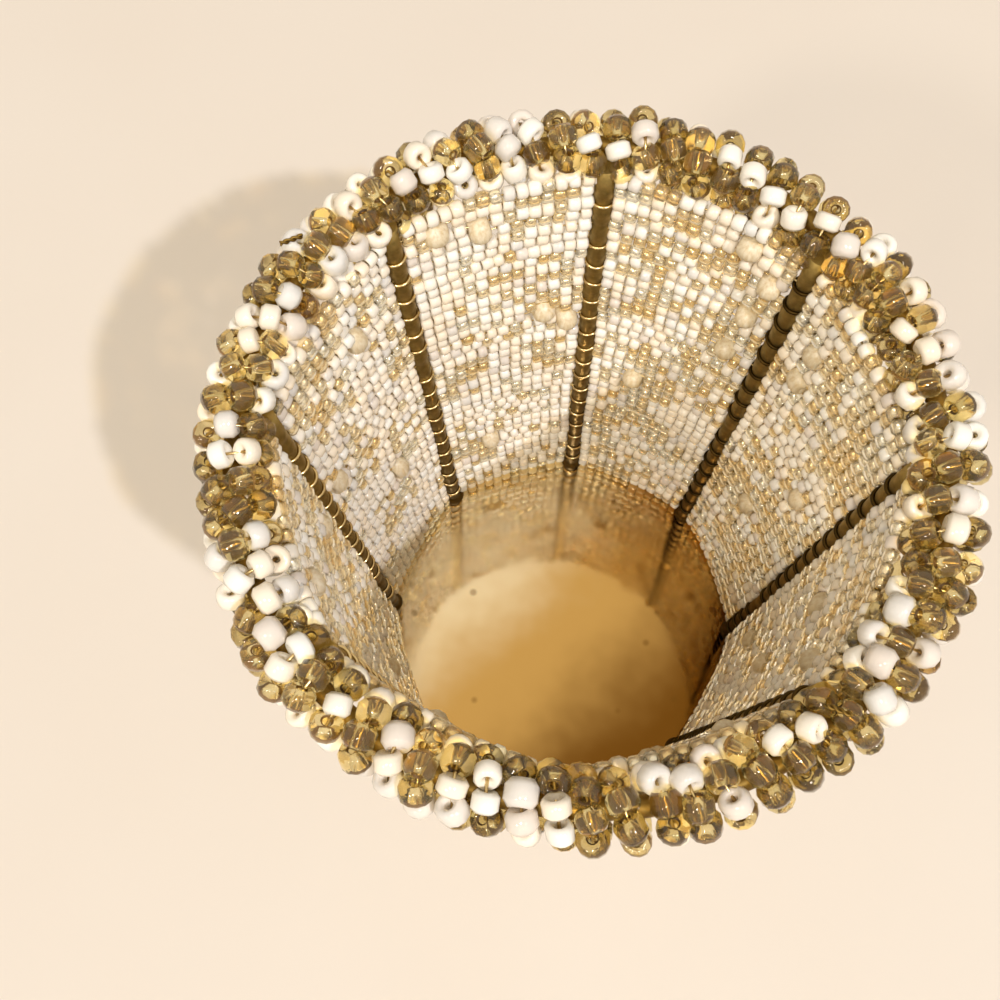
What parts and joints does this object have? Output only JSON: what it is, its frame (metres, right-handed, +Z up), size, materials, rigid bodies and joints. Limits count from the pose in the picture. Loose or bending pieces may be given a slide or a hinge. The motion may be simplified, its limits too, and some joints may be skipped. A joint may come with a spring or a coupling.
{
  "type": "votive holder",
  "caption": "Open tapered candle holder: bead-strung panels between leaning wire ribs, a thick rim wound with glass beads, and a polished brass plate that carries the candle.",
  "frame": {"origin": "on the table, under the middle of the cup", "axes": "+Z up along the cup's axis; +X towards rib_1"},
  "size_m": [0.0892, 0.0892, 0.092],
  "materials": {
    "bronze_wire": "dark antique bronze, satin",
    "polished_brass": "polished to a near mirror",
    "row_glass": "silver-lined champagne seed beads",
    "rim_glass": "smoky topaz seed beads",
    "white_glass": "opaque white seed beads, glossy",
    "cream_beads": "opaque cream oval beads, waxy",
    "bead_wire": "fine drawn brass wire"
  },
  "bodies": {
    "root": {"base_ring": "bronze_wire", "base_plate": "polished_brass", "top_ring": "bronze_wire", "rim_bead_roll": "rim_glass", "rib_1": "bronze_wire", "rib_2": "bronze_wire", "rib_3": "bronze_wire", "rib_4": "bronze_wire", "rib_5": "bronze_wire", "rib_6": "bronze_wire", "rib_7": "bronze_wire", "rib_8": "bronze_wire", "panel_1": "row_glass", "panel_2": "row_glass", "panel_3": "row_glass", "panel_4": "row_glass", "panel_5": "row_glass", "panel_6": "row_glass", "panel_7": "row_glass", "panel_8": "row_glass"}
  },
  "joints": []
}
